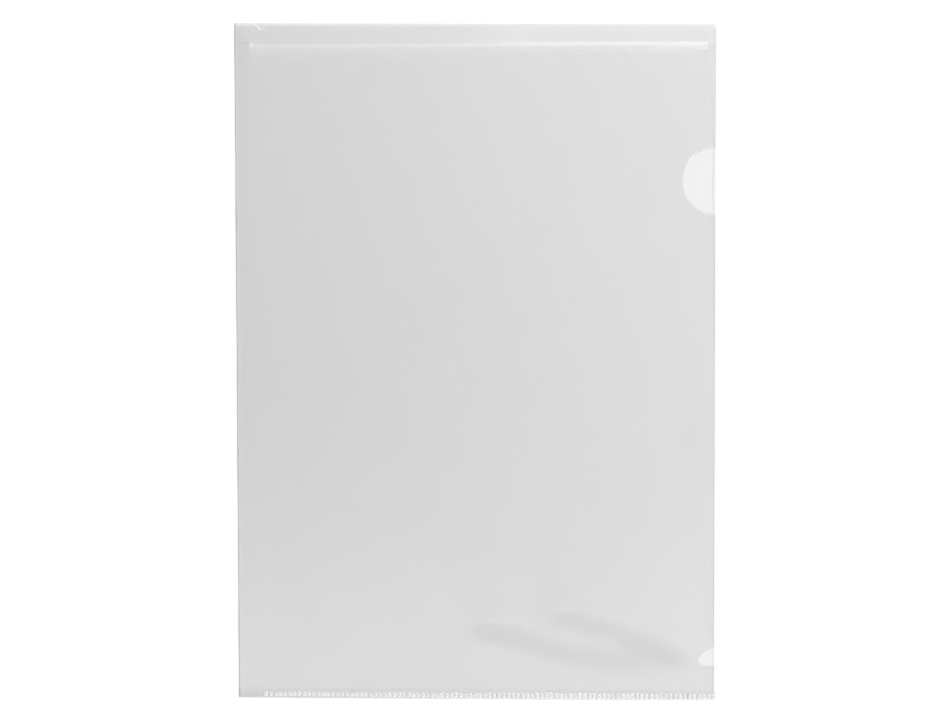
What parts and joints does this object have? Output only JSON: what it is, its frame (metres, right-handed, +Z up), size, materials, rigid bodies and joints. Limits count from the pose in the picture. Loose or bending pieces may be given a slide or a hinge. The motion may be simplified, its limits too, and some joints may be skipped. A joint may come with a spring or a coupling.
{
  "type": "l-shaped plastic folder",
  "caption": "Clear L-shaped plastic folder for loose sheets, folded at the left, welded at the bottom, open at the top and right, with a thumb notch and a front leaf that lifts.",
  "frame": {"origin": "middle of the underside of the back sheet, which is the middle of the bottom of the bounding box", "axes": "+X from the fold towards the open edge, +Y from the welded bottom edge towards the open top edge, +Z up through the folder towards the front sheet"},
  "size_m": [0.22, 0.31, 0.0014],
  "materials": {
    "clear_film": "clear polypropylene film, slightly hazy, with a fine satin surface",
    "folded_film": "the same film turned through a tight fold, with a thin dark edge line",
    "welded_film": "film fused and pressed with a row of oval marks, cloudy between them"
  },
  "bodies": {
    "pocket": {"back_sheet": "clear_film", "spine_fold": "folded_film", "front_panel": "clear_film", "bottom_weld": "welded_film"},
    "leaf": {"front_leaf": "clear_film"}
  },
  "joints": [
    {"name": "front_leaf_lift", "type": "hinge", "parent": "pocket", "child": "leaf", "pos_m": [-0.10962, 0.1486, 0.00076], "axis": [0.5986, -0.801, 0], "range_deg": [0, 60], "stiffness_Nm_per_rad": 0.003}
  ]
}
